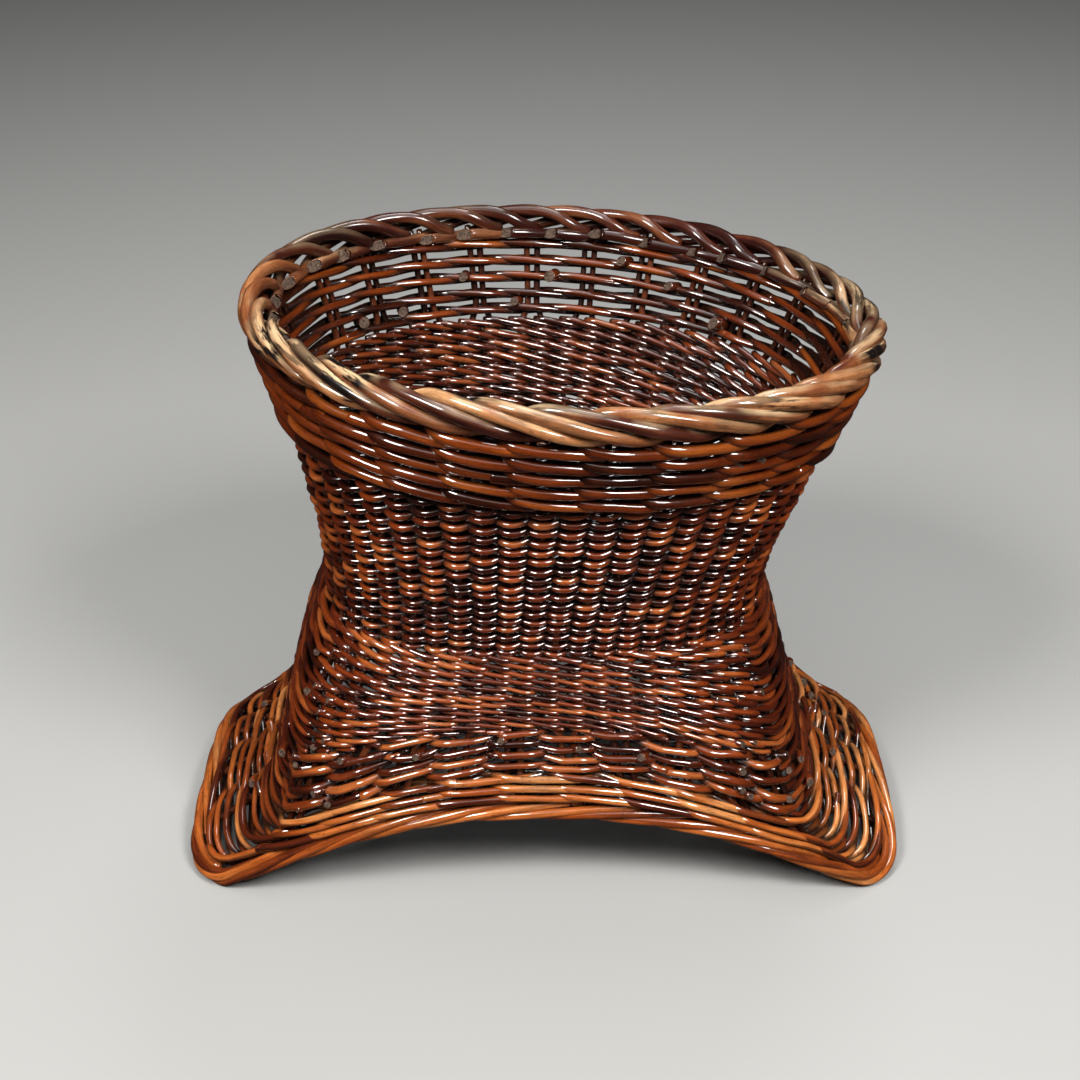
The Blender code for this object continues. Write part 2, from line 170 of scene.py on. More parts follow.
# --------------------------------------------------------------- rods as tubes
class Bundle:
    """Collects rods and turns them into one mesh with per-rod attributes."""

    def __init__(self):
        self.co, self.quads, self.tris, self.sawn = [], [], [], []
        self.tint, self.grain, self.crest, self.cut = [], [], [], []
        self.count = 0

    def add(self, co, tint, grain, crest, cut):
        first = self.count
        self.co.append(co)
        n = len(co)
        self.tint.append(np.broadcast_to(tint, (n,)))
        self.grain.append(grain)
        self.crest.append(np.broadcast_to(crest, (n,)))
        self.cut.append(np.broadcast_to(cut, (n,)))
        self.count += n
        return first

    def rod(self, path, radius, ref, sides=8, tint=None, crest=1.0, start="tuck", end="tuck",
            slant=None, face=None):
        """One rod.  start and end are tuck (closed, out of sight), cut (a flat
        sawn butt) or round.  slant turns a cut face towards that direction.
        face is 1 where the rod lies outside and -1 inside: crest falls off on its far side and its underside, which
        paints shade there."""
        path = np.asarray(path, float)
        n = len(path)
        radius = np.broadcast_to(np.asarray(radius, float), (n,))
        crest = np.broadcast_to(np.asarray(crest, float), (n,))
        tint = RNG.random() if tint is None else tint
        tan = unit(np.gradient(path, axis=0))
        a = unit(ref - (ref * tan).sum(-1, keepdims=True) * tan)
        b = np.cross(tan, a)
        along = np.concatenate([[0], np.cumsum(np.linalg.norm(np.diff(path, axis=0), axis=1))])
        th = np.arange(sides) * (2 * math.pi / sides)
        ph = RNG.random(4) * 6.28
        wob = (1 + 0.035 * np.sin(along * 210 + ph[0]) + 0.03 * np.sin(along * 97 + ph[1]))[:, None] \
            * (1 + 0.03 * np.sin(2 * th + ph[2]))[None, :]
        r = radius[:, None] * wob
        off = r[..., None] * (np.cos(th)[None, :, None] * a[:, None] + np.sin(th)[None, :, None] * b[:, None])
        if slant is not None:
            if end == "cut":
                off[-1] += tan[-1] * (-(off[-1] @ slant) * 1.6)[:, None]
            if start == "cut":
                off[0] += tan[0] * ((off[0] @ slant) * 1.6)[:, None]
        co = path[:, None] + off
        shift = RNG.random(3) * 7.0
        grain = np.stack([np.broadcast_to(along[:, None], (n, sides)) + shift[0],
                          r * np.cos(th) + shift[1], r * np.sin(th) + shift[2]], -1)
        open_ = np.repeat(crest[:, None], sides, 1)
        if face is not None:
            # painted shade on the far side and the underside of each rod
            open_ = open_ * np.clip(0.62 + 0.75 * np.cos(th)[None] * face[:, None], 0, 1)
            open_ = open_ * (1 - 0.78 * np.clip(np.sin(th) + 0.2, 0, 1))[None]
        first = self.add(co.reshape(-1, 3), tint, grain.reshape(-1, 3), open_.ravel(), 0.0)
        i = np.arange(n - 1)[:, None] * sides
        j = np.arange(sides)[None, :]
        k = (j + 1) % sides
        self.quads.append((first + np.stack([i + j, i + k, i + sides + k, i + sides + j], -1)).reshape(-1, 4))
        for which, kind in ((0, start), (n - 1, end)):
            sign = -1 if which == 0 else 1
            ring = first + which * sides + np.arange(sides)
            t = tan[which] * sign
            base = co[which]
            g = grain[which]
            if kind == "round":
                for share, reach in ((0.86, 0.45), (0.55, 0.78)):
                    nxt = path[which] + (base - path[which]) * share + t * radius[which] * reach
                    f = self.add(nxt, tint, g, crest[which], 0.25)
                    new = f + np.arange(sides)
                    self.band(ring, new, sign)
                    ring = new
                tip = self.add((path[which] + t * radius[which])[None], tint, g[:1], crest[which], 0.4)
                self.fan(ring, tip, sign)
            elif kind == "cut":
                # a narrow rubbed edge, then the sawn face with its own colour
                nxt = path[which] + (base - path[which]) * 0.9 + t * radius[which] * 0.10
                f = self.add(nxt, tint, g, crest[which], 0.35)
                new = f + np.arange(sides)
                self.band(ring, new, sign)
                f2 = self.add(nxt, tint, g, 1.0, 1.0)
                new = f2 + np.arange(sides)
                tip = self.add(nxt.mean(0)[None] - t * radius[which] * 0.06, tint, g.mean(0)[None], 1.0, 1.0)
                self.fan(new, tip, sign, True)
            else:
                tip = self.add((path[which] + t * radius[which] * 0.35)[None], tint, g[:1], crest[which], 0.0)
                self.fan(ring, tip, sign)

    def band(self, a, b, sign):
        q = np.stack([a, np.roll(a, -1), np.roll(b, -1), b], -1)
        self.quads.append(q if sign > 0 else q[:, ::-1])

    def fan(self, ring, tip, sign, sawn=False):
        t = np.stack([ring, np.roll(ring, -1), np.full(len(ring), tip)], -1)
        self.sawn.append(np.full(len(ring), sawn))
        self.tris.append(t if sign > 0 else t[:, ::-1])

    def build(self, name, nodes, slot, material, floor=None):
        co = np.concatenate(self.co)
        if floor is not None:
            low = co[:, 2] < floor + 0.0016
            co[low, 2] = floor + 0.0016 * np.exp((co[low, 2] - floor - 0.0016) / 0.0016)
        quads = np.concatenate(self.quads)
        tris = np.concatenate(self.tris)
        me = bpy.data.meshes.new(name)
        me.vertices.add(len(co))
        me.vertices.foreach_set("co", co.astype(np.float32).ravel())
        me.loops.add(quads.size + tris.size)
        me.loops.foreach_set("vertex_index", np.concatenate([quads.ravel(), tris.ravel()]).astype(np.int32))
        me.polygons.add(len(quads) + len(tris))
        starts = np.concatenate([np.arange(len(quads)) * 4, quads.size + np.arange(len(tris)) * 3])
        me.polygons.foreach_set("loop_start", starts.astype(np.int32))
        me.polygons.foreach_set("use_smooth", np.ones(len(starts), bool))
        sawn = np.concatenate([np.zeros(len(quads), bool)] + self.sawn)
        me.polygons.foreach_set("material_index", sawn.astype(np.int32))
        me.update(calc_edges=True)
        for label, data in (("tint", self.tint), ("crest", self.crest), ("cut", self.cut)):
            at = me.attributes.new(label, "FLOAT", "POINT")
            at.data.foreach_set("value", np.concatenate(data).astype(np.float32))
        at = me.attributes.new("grain", "FLOAT_VECTOR", "POINT")
        at.data.foreach_set("vector", np.concatenate(self.grain).astype(np.float32).ravel())
        me.materials.append(material)
        if sawn.any():
            me.materials.append(MAT_SAWN)
        ob = bpy.data.objects.new(name, me)
        bpy.context.scene.collection.objects.link(ob)
        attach(ob, "root")
        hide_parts(*nodes)
        return ob


# ------------------------------------------------------------------- materials
def lin(r, g, b):
    """8-bit display colour to linear."""
    def one(c):
        c /= 255.0
        return c / 12.92 if c <= 0.04045 else ((c + 0.055) / 1.055) ** 2.4
    return one(r), one(g), one(b), 1.0


def willow(name, stops, rough=(0.26, 0.5), coat=0.5, coat_rough=0.12, recess_shade=0.93, stain=0.0,
           top_highlight=0.0, fibre=0.35, aged=0.0):
    """Varnished willow: rod-by-rod colour, lengthwise fibres, painted shade in the recesses, grey sawn ends.  stain
    adds black weather stains and bleach paints a pale highlight on the up-facing tops."""
    m = bpy.data.materials.new(name)
    m.use_nodes = True
    nt = m.node_tree
    nd, ln = nt.nodes, nt.links
    nd.clear()

    def node(kind, **props):
        x = nd.new(kind)
        for k, val in props.items():
            setattr(x, k, val)
        return x

    def attr(label):
        return node("ShaderNodeAttribute", attribute_name=label, attribute_type="GEOMETRY")

    def math_(op, a, b=None, clamp=False):
        x = node("ShaderNodeMath", operation=op, use_clamp=clamp)
        for sock, val in zip(x.inputs, (a, b)):
            if val is None:
                continue
            if isinstance(val, (int, float)):
                sock.default_value = val
            else:
                ln.new(val, sock)
        return x.outputs[0]

    def remap(val, a, b, c, d):
        x = node("ShaderNodeMapRange")
        ln.new(val, x.inputs["Value"])
        for label, num in (("From Min", a), ("From Max", b), ("To Min", c), ("To Max", d)):
            x.inputs[label].default_value = num
        return x.outputs["Result"]

    def noise(vec, scale, stretch, detail=3.0, rough_=0.55):
        mp = node("ShaderNodeMapping")
        mp.inputs["Scale"].default_value = stretch
        ln.new(vec, mp.inputs["Vector"])
        x = node("ShaderNodeTexNoise")
        x.inputs["Scale"].default_value = scale
        x.inputs["Detail"].default_value = detail
        x.inputs["Roughness"].default_value = rough_
        ln.new(mp.outputs[0], x.inputs["Vector"])
        return x.outputs["Fac"]

    def mix(fac, a, b, blend="MIX"):
        x = node("ShaderNodeMix", data_type="RGBA", blend_type=blend)
        if isinstance(fac, (int, float)):
            x.inputs["Factor"].default_value = fac
        else:
            ln.new(fac, x.inputs["Factor"])
        for sock, val in ((x.inputs[6], a), (x.inputs[7], b)):
            if isinstance(val, tuple):
                sock.default_value = val
            else:
                ln.new(val, sock)
        return x.outputs[2]

    tint, grain, crest, cut = attr("tint"), attr("grain"), attr("crest"), attr("cut")
    coords = node("ShaderNodeTexCoord")
    gv = grain.outputs["Vector"]
    blotch = noise(gv, 1.0, (22, 130, 130), 3)
    fibres = noise(gv, 1.0, (55, 1100, 1100), 3, 0.6)
    speck = noise(gv, 1.0, (420, 620, 620), 2, 0.5)
    patch = noise(coords.outputs["Object"], 16.0, (1, 1, 1), 3, 0.6)

    where = math_("ADD", tint.outputs["Fac"], remap(blotch, 0.3, 0.7, -0.26, 0.26))
    where = math_("ADD", where, remap(patch, 0.3, 0.7, -0.16, 0.16), clamp=not aged)
    if aged:
        # darker towards the back, with less of the painted top highlight and fewer stains there
        place = node("ShaderNodeSeparateXYZ")
        ln.new(coords.outputs["Object"], place.inputs[0])
        near = remap(place.outputs["Y"], 0.0, 0.1, 1.0, 0.0)
        where = math_("ADD", where, math_("MULTIPLY", math_("SUBTRACT", near, 1.0), aged), clamp=True)
    ramp = node("ShaderNodeValToRGB")
    while len(ramp.color_ramp.elements) < len(stops):
        ramp.color_ramp.elements.new(0.5)
    for el, (pos, col) in zip(ramp.color_ramp.elements, stops):
        el.position = pos
        el.color = col
    ln.new(where, ramp.inputs["Fac"])
    colour = ramp.outputs["Color"]
    # lengthwise fibres
    shade = remap(fibres, 0.3, 0.72, 1.0 - fibre, 1.0 + fibre * 0.55)
    grey = node("ShaderNodeCombineColor")
    for sock in grey.inputs:
        ln.new(shade, sock)
    colour = mix(1.0, colour, grey.outputs[0], "MULTIPLY")
    # dark specks of old varnish
    colour = mix(remap(speck, 0.60, 0.74, 0.0, 0.55), colour, lin(30, 14, 9))
    # painted highlight: up-facing tops are painted pale, in patches
    if top_highlight:
        top = node("ShaderNodeNewGeometry")
        sep = node("ShaderNodeSeparateXYZ")
        ln.new(top.outputs["Normal"], sep.inputs[0])
        painted_light = math_("MULTIPLY", remap(sep.outputs["Z"], 0.25, 0.95, 0.0, 1.0),
                     remap(patch, 0.42, 0.6, 0.0, top_highlight), clamp=True)
        if aged:
            painted_light = math_("MULTIPLY", painted_light, remap(near, 0.0, 1.0, 0.12, 1.0))
        colour = mix(painted_light, colour, lin(206, 178, 138))
    if stain:
        soot = noise(gv, 1.0, (34, 240, 240), 4, 0.65)
        worn2 = math_("MULTIPLY", remap(soot, 0.46, 0.54, 0.0, 1.0),
                      remap(patch, 0.42, 0.58, 0.0, stain), clamp=True)
        if aged:
            worn2 = math_("MULTIPLY", worn2, remap(near, 0.0, 1.0, 0.35, 1.0))
        colour = mix(worn2, colour, lin(16, 11, 10))
    # painted shade where a rod dives between the stakes, and on its far side and underside
    painted_shade = remap(crest.outputs["Fac"], 0.18, 0.80, recess_shade, 0.0)
    colour = mix(painted_shade, colour, lin(16, 6, 3))
    # sawn ends
    rings = noise(coords.outputs["Object"], 900.0, (1, 1, 1), 2, 0.6)
    endc = mix(remap(rings, 0.35, 0.7, 0.0, 1.0), lin(38, 28, 24), lin(96, 80, 68))
    colour = mix(cut.outputs["Fac"], colour, endc)

    bsdf = node("ShaderNodeBsdfPrincipled")
    ln.new(colour, bsdf.inputs["Base Color"])
    rg = math_("ADD", remap(blotch, 0.3, 0.75, rough[0], rough[1]), math_("MULTIPLY", cut.outputs["Fac"], 0.35))
    rg = math_("ADD", rg, math_("MULTIPLY", painted_shade, 0.25), clamp=True)
    ln.new(rg, bsdf.inputs["Roughness"])
    bsdf.inputs["IOR"].default_value = 1.5
    bsdf.inputs["Specular IOR Level"].default_value = 0.1
    bsdf.inputs["Coat Weight"].default_value = coat
    bsdf.inputs["Coat Roughness"].default_value = coat_rough
    bsdf.inputs["Coat IOR"].default_value = 1.85
    wr = noise(gv, 1.0, (330, 150, 150), 2, 0.5)
    height = math_("ADD", math_("MULTIPLY", fibres, 0.6), math_("MULTIPLY", wr, 0.8))
    bump = node("ShaderNodeBump")
    bump.inputs["Strength"].default_value = 0.35
    bump.inputs["Distance"].default_value = 0.0006
    ln.new(height, bump.inputs["Height"])
    ln.new(bump.outputs[0], bsdf.inputs["Normal"])
    out = node("ShaderNodeOutputMaterial")
    ln.new(bsdf.outputs[0], out.inputs["Surface"])
    return m


MAT_STAKE = willow("willow_stake", [(0.0, lin(22, 7, 3)), (0.5, lin(50, 19, 8)), (1.0, lin(82, 38, 17))], coat=0.3)
MAT_RIM = willow("willow_rim", [(0.0, lin(40, 13, 8)), (0.25, lin(70, 31, 18)), (0.5, lin(112, 64, 36)),
                                (0.8, lin(148, 96, 58)), (1.0, lin(180, 132, 88))],
                 rough=(0.28, 0.5), coat=0.45, recess_shade=0.3, stain=1.0, top_highlight=0.7, aged=0.42)
MAT_WALE = willow("willow_wale", [(0.0, lin(38, 10, 2)), (0.4, lin(78, 27, 4)), (0.8, lin(110, 46, 8)),
                                  (1.0, lin(130, 64, 18))], rough=(0.24, 0.45), coat=0.8, coat_rough=0.08)
MAT_WEAVE = willow("willow_weave", [(0.0, lin(40, 9, 2)), (0.4, lin(82, 28, 7)), (0.8, lin(118, 49, 14)),
                                    (1.0, lin(146, 75, 32))], rough=(0.2, 0.4), coat=1.0, coat_rough=0.07)
MAT_SKIRT = willow("willow_skirt", [(0.0, lin(40, 10, 2)), (0.4, lin(80, 27, 6)), (0.8, lin(118, 50, 15)),
                                    (1.0, lin(152, 80, 36))], rough=(0.22, 0.42), coat=1.0, coat_rough=0.08)
MAT_FOOT = willow("willow_foot", [(0.0, lin(72, 25, 8)), (0.4, lin(138, 63, 20)), (0.8, lin(174, 95, 40)),
                                  (1.0, lin(198, 128, 72))], rough=(0.22, 0.42), coat=1.0, coat_rough=0.09, stain=0.4)
MAT_FLOOR = willow("willow_floor", [(0.0, lin(40, 18, 10)), (0.5, lin(66, 34, 19)), (1.0, lin(92, 55, 33))],
                   rough=(0.4, 0.65), coat=0.15)
MAT_SAWN = willow("sawn_end", [(0.0, lin(40, 30, 26)), (0.5, lin(68, 54, 47)), (1.0, lin(98, 82, 70))],
                  rough=(0.8, 0.95), coat=0.0, recess_shade=0.0)


# --------------------------------------------------------------- weave helpers
def smooth(x):
    x = np.clip(x, 0, 1)
    return x * x * (3 - 2 * x)


def pairing(v):
    """How far stakes lean together in twos, where the wale holds them tight
    against each other below the rim."""
    return 0.34 * smooth((np.asarray(v, float) - 0.79) / 0.06)


# In the foot the stakes of the front and back stand in twos and those of the
# short sides alone.  A unit is one such two or one such single stake.
UNIT_AT = np.array([2 * k + 0.5 for k in range(10)] + [20, 21, 22, 23]
                   + [24.5 + 2 * k for k in range(10)] + [44, 45, 46, 47] + [48.5])
UNITS = len(UNIT_AT) - 1


def unit_count(s):
    """Unit number at s, for weavers of the foot."""
    s = np.asarray(s, float) - 0.5
    lap = np.floor(s / STAKES)
    return lap * UNITS + np.interp(s - lap * STAKES + 0.5, UNIT_AT, np.arange(UNITS + 1))


def ripple(s, size, waves=6):
    """Smooth unevenness along a row."""
    out = np.zeros_like(s)
    for _ in range(waves):
        out += RNG.normal() * np.sin(2 * np.pi * s / STAKES * RNG.integers(1, 14) + RNG.random() * 6.28)
    return out * size / math.sqrt(waves / 2)


def per_stake(s, size):
    """A different small value at each stake, eased between them."""
    val = RNG.normal(size=STAKES + 1) * size
    i = np.floor(s).astype(int)
    t = smooth(s - i)
    return val[i % STAKES] * (1 - t) + val[(i + 1) % STAKES] * t


FRONT_MIDDLE = FRONT_GAPS / 2
RIGHT_MIDDLE = FRONT_GAPS + SIDE_GAPS / 2
LEFT_MIDDLE = STAKES - SIDE_GAPS / 2
STEP = 10                                    # points of a weaver to each stake


def side_share(s):
    """0 along the front and back, 1 along the short sides."""
    u = np.mod(s, STAKES)
    d = np.minimum(np.abs(u - RIGHT_MIDDLE), np.abs(u - LEFT_MIDDLE))
    return smooth((3.8 - d) / 1.5)


def level_of(row, s):
    w = side_share(s)
    return row["front"] * (1 - w) + row["side"] * w


def bars(c, flat):
    """Swing of a weaver.  It runs flat past a two of stakes, bends round each
    of them and dips a little between them."""
    y = np.tanh(flat * c) / math.tanh(flat)
    return y - 0.13 * smooth((np.abs(c) - 0.7) / 0.3) * np.sign(c)


def spread(row, s):
    """How much wider than at the middle of the front the rows lie at s."""
    v = level_of(row, s)
    mid = np.full(len(s), row["front"])

    def pace(at, level):
        return np.linalg.norm(wall(at, level + 0.01) - wall(at, level - 0.01), axis=-1)

    w = side_share(s)
    front = pace(s, mid) / pace(np.full(len(s), FRONT_MIDDLE), mid)
    return np.clip((1 - w) * front + w * row.get("wide", 1.0), 0.85, 1.5)


def weaver(bundle, row, s, radius, phase, tuck=0.0, tint=None, sides=8, jitter=0.25, flat=1.1):
    """A weaver in front of one unit of stakes and behind the next.  tuck draws
    its ends in behind the wall over so many stakes."""
    v = level_of(row, s)
    w = unit_count(s) + per_stake(s, 0.06)
    c = np.cos(np.pi * (w + phase))
    shape = bars(c, flat)
    if tuck:
        inner = smooth(1 - np.minimum(s - s[0], s[-1] - s) / tuck)
        shape = shape * (1 - inner) - inner
    t = np.linspace(0, 1, len(s))
    r = radius * (1.06 - 0.12 * t) * spread(row, s)
    swing = STAKE_R + r - 0.35 * MM
    lift = ripple(s, radius * jitter) + per_stake(s, radius * 0.2) + 0.3 * MM * np.sin(2 * np.pi * w)
    p, n, up = wall_frame(s, v)
    path = p + (swing * shape * (1 + per_stake(s, 0.06)))[:, None] * n + lift[:, None] * up
    # crest falls where the weaver goes behind the stakes, which paints shade there
    bundle.rod(path, r, n, sides, tint, 0.2 + 0.8 * smooth((shape + 0.75) / 0.9), face=shape)


def strand(bundle, level, start, lo, hi, radius, short=1, sides=8):
    """A weaver that moves on one row at each stake.  Its short bars pass one
    stake on one side (short is 1 for outside, -1 for inside) and its long ones
    two stakes on the other.  level and radius are given by row and stake."""
    rho = np.arange(round((lo - 0.4) * STEP), round((hi + 0.4) * STEP) + 1) / STEP
    s = start + rho
    v = level(rho, s)
    q = 2 * np.pi * (rho + per_stake(s, 0.03)) / 3
    u = (1 + np.cos(q)) / 2 - 0.72
    x = np.where(u > 0, u / 0.28, u / 0.47)                  # 1 on the short side
    x = np.where(x < 0, np.tanh(x * 1.25) / np.tanh(1.25), x)
    t = np.linspace(0, 1, len(s))
    r = radius(rho, s) * (1.06 - 0.12 * t) * RNG.uniform(0.94, 1.06)
    swing = STAKE_R + r - 0.3 * MM
    # on the long side a strand goes in under the end of the one before it
    lift = ripple(s, 0.3 * MM) + per_stake(s, 0.25 * MM) - (0.45 + 0.2 * short) * MM * short * np.sin(q)
    over = 0.7 * MM * smooth(-x) * np.sin(q)
    out = short * (swing * x * (1 + per_stake(s, 0.07)) + over)
    p, n, up = wall_frame(s, v)
    path = relax(p + out[:, None] * n + lift[:, None] * up, 1)
    painted_light = np.where(short * x > 0, 0.8, 0.46)                # painted shade: the inside is painted darker than the outside
    bundle.rod(path, r, n, sides, None, 0.2 + painted_light * np.abs(x).clip(0, 1) ** 1.2, face=short * x.clip(-1, 1))


def relax(path, times):
    """Rounds off tight turns of a rod."""
    for _ in range(times):
        path[1:-1] = 0.25 * path[:-2] + 0.5 * path[1:-1] + 0.25 * path[2:]
    return path


def full_row(bundle, row, radius, phase, rods=2):
    """A row all the way round, made of a few rods that overlap a little."""
    first = int(RNG.integers(0, STAKES))
    span = STAKES / rods
    for k in range(rods):
        a = first + round(k * span)
        b = first + round((k + 1) * span)
        s = np.arange(a * STEP - STEP // 2, round((b + 0.6) * STEP) + 1) / STEP
        weaver(bundle, row, s, radius * RNG.uniform(0.94, 1.06), phase, 0.7)


def wale_row(bundle, row, radius, rise, proud, turn=1, sides=10, thin=0.0, twos=False):
    """Three rods, each in front of two stakes (or twos of stakes) and behind
    the third.  A rod comes out over its neighbour and goes in under the next."""
    first = int(RNG.integers(0, STAKES // 2)) * 2
    for rod in range(3):
        for part in range(2):
            a = first + part * STAKES // 2
            z = a + STAKES // 2
            s = np.arange(a * STEP - STEP // 2, z * STEP + STEP // 2 + 1) / STEP
            v = level_of(row, s)
            w = (s - 0.5) / 2 if twos else unit_count(s)
            q = 2 * np.pi * (w - rod) / 3
            x = -(np.cos(q) * 4 - 1) / 3                     # -1 behind, 1 in front
            x = np.where(x > 0, np.tanh(x * 1.25) / np.tanh(1.25), x)
            t = np.linspace(0, 1, len(s))
            front = 1 - smooth((wall(s, v)[:, 1] + 0.05) / 0.1)
            r = radius * (1.06 - 0.12 * t) * RNG.uniform(0.95, 1.05) * (1 - thin * (1 - front))
            ease = smooth((x + 0.2) / 1.0)
            swing = (STAKE_R + r - 0.3 * MM) * (1 + per_stake(s, 0.04))
            over = proud * ease * (0.5 + 0.5 * np.sin(q) * turn)
            lift = turn * rise * (0.6 + 0.4 * front) * np.sin(q) + ripple(s, 0.3 * MM) + per_stake(s, 0.2 * MM)
            p, n, up = wall_frame(s, v)
            path = p + (swing * x + over)[:, None] * n + lift[:, None] * up
            if not twos:
                path = relax(path, 4)
            # crest falls where the rod crosses between the stakes, which paints shade there
            bundle.rod(path, r, n, sides, None, 0.3 + 0.7 * np.abs(x).clip(0, 1), face=x.clip(-1, 1))


def butts(bundle, places, radius, inside=False):
    """Cut rod ends that come out of the wall at the given (s, level)."""
    for s0, v0 in places:
        turn = 1 if inside or RNG.random() < 0.5 else -1
        r = radius * RNG.uniform(0.85, 1.15)
        go = np.linspace(0, 1, 10)
        p, n, up = wall_frame(s0 + turn * 0.55 * (go - 1) * (0.4 + 0.6 * go), np.full(10, v0))
        n = -n if inside else n
        reach = -2.0 * MM + (STAKE_R + 1.9 * r + 2.2 * MM) * go
        path = p + reach[:, None] * n + (go * RNG.normal() * 0.8 * MM)[:, None] * up
        tip = unit(n[-1] + up[-1] * 0.5)
        # crest is lower where the butt comes out of the wall, which paints shade there
        bundle.rod(path, r, up, 12, RNG.uniform(0, 0.5), 0.3 + 0.5 * go, "tuck", "cut", tip * 0.4)


def scatter(count, s_range, v_range):
    return [(RNG.uniform(*s_range), RNG.uniform(*v_range)) for _ in range(count)]


def left_ridge(count, v_range):
    return scatter(count, (-0.6, 2.4), v_range)


def right_ridge(count, v_range):
    return scatter(count, (FRONT_GAPS - 2.4, FRONT_GAPS + 0.6), v_range)


def wings(count, v_range):
    return (scatter(count, (RIGHT_MIDDLE - 2, RIGHT_MIDDLE + 2), v_range)
            + scatter(count, (LEFT_MIDDLE - 2, LEFT_MIDDLE + 2), v_range))


def arc_levels(s_ref, v_hi, v_lo, widths):
    """Levels of the middles of rows of the given relative widths that fill the
    wall between two levels at one stake coordinate, and their real widths."""
    vv = np.linspace(v_hi, v_lo, 600)
    p = wall(np.full(600, s_ref), vv)
    arc = np.concatenate([[0], np.cumsum(np.linalg.norm(np.diff(p, axis=0), axis=1))])
    widths = np.asarray(widths, float)
    edges = np.concatenate([[0], np.cumsum(widths)]) * (arc[-1] / widths.sum())
    return np.interp((edges[1:] + edges[:-1]) / 2, arc, vv), np.diff(edges)


def arc_length(s_ref, v_hi, v_lo):
    vv = np.linspace(v_hi, v_lo, 600)
    return np.linalg.norm(np.diff(wall(np.full(600, s_ref), vv), axis=0), axis=1).sum()


# ---------------------------------------------------------------------- stakes
b = Bundle()
for i in range(STAKES):
    v = np.linspace(0.012, 0.992, 100)
    two = 0.0 if i in (20, 21, 22, 23, 44, 45, 46, 47) else 0.27
    s = i + (pairing(v) + two * smooth((0.28 - v) / 0.05)) * (-1) ** i + 0.02 * np.sin(v * 17 + RNG.random() * 6)
    p, n, up = wall_frame(s, v)
    b.rod(p, STAKE_R * np.linspace(1.08, 0.96, 100), n, 10, None, 0.8)
stakes = sorted(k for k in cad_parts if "_stake_" in k)
b.build("stake_rods", stakes, "willow_stake", MAT_STAKE)

# ----------------------------------------------------------------- upper wale
b = Bundle()
levels, widths = arc_levels(FRONT_MIDDLE, 0.972, 0.817, np.ones(5))
for lv in levels:
    wale_row(b, dict(front=lv, side=lv), 2.95 * MM, 2.3 * MM, 2.6 * MM, thin=0.2, twos=True)
butts(b, [(27.5 + 2 * k + RNG.normal() * 0.3, RNG.choice([0.85, 0.9, 0.935])) for k in range(8)], 3.4 * MM, inside=True)
butts(b, scatter(2, (13.5, 16), (0.84, 0.93)), 2.8 * MM)
b.build("upper_wale_rods", ["upper_wale_top", "upper_wale_middle", "upper_wale_bottom"],
        "willow_wale", MAT_WALE)

# --------------------------------------------------------------- weave of bowl
# one strand starts at every stake of the waist and climbs a row at each stake
bottom, top = 1.85 * MM, 2.6 * MM
count = round(arc_length(FRONT_MIDDLE, 0.817, 0.5) / ((top + bottom) / 2))
levels, widths = arc_levels(FRONT_MIDDLE, 0.5, 0.817, np.linspace(bottom, top, count))


def bowl_level(rho, s):
    return np.interp(rho, np.arange(count), levels)


def bowl_radius(rho, s):
    return np.interp(rho, np.arange(count), widths) * 0.84


edges = [0.5, 0.579, 0.658, 0.737, 0.817]
turns = [3 * round(float(np.interp(e, levels, np.arange(count))) / 3) + 1 for e in edges]
turns[0], turns[-1] = 0, count - 1
for part in range(4):
    b = Bundle()
    for i in range(STAKES):
        strand(b, bowl_level, i, turns[part], turns[part + 1], bowl_radius)
    b.build("bowl_weave_rods_%d" % (4 - part), ["bowl_weave_%d" % (4 - part)], "willow_weave", MAT_WEAVE)


# ---------------------------------------------------------- weave of the foot
def zone(v_hi, v_lo, front_widths, plan_side, side_lo=None):
    """Rows of one zone of the foot from the top down.  plan_side lists what
    stands there on the short sides: an index is a row that runs right round,
    x is a packing row that stays on the side.  Widths there follow."""
    lv, width = arc_levels(FRONT_MIDDLE, v_hi, v_lo, front_widths)
    side_lv, side_width = arc_levels(RIGHT_MIDDLE, v_hi, side_lo or v_lo, [w for _, w in plan_side])
    rows = []
    for (what, _), sl, sw in zip(plan_side, side_lv, side_width):
        if what == "x":
            rows.append(dict(kind="x", front=None, side=sl, width=sw))
        else:
            rows.append(dict(kind="row", front=lv[what], side=sl, width=width[what], wide=sw / width[what]))
    known = [k for k, r in enumerate(rows) if r["front"] is not None]
    for k, r in enumerate(rows):
        if r["front"] is None:
            r["front"] = float(np.interp(k, known, [rows[q]["front"] for q in known]))
    return rows


def packing(bundle, row, radius, phase):
    """A short row on each short side, with its ends tucked at the corners."""
    for start in (FRONT_GAPS, FRONT_GAPS + SIDE_GAPS + BACK_GAPS):
        a = start - RNG.uniform(0.3, 0.9)
        z = start + SIDE_GAPS + RNG.uniform(0.3, 0.9)
        s = np.linspace(a, z, int((z - a) * STEP) + 1)
        weaver(bundle, row, s, radius * RNG.uniform(0.92, 1.06), phase, 0.8, None, 8, 0.2)


phase = 0
# the fine rows below the waist go down one row at each stake
fine = round(arc_length(FRONT_MIDDLE, 0.506, 0.262) / (1.57 * MM))
fine_level, fine_width = arc_levels(FRONT_MIDDLE, 0.506, 0.262, np.linspace(1.8, 1.3, fine))
fine_side, fine_side_width = arc_levels(RIGHT_MIDDLE, 0.506, 0.262, np.linspace(1.8, 1.3, fine))


def foot_level(rho, s):
    w = side_share(s)
    rows_ = np.arange(fine)
    return np.interp(rho, rows_, fine_level) * (1 - w) + np.interp(rho, rows_, fine_side) * w


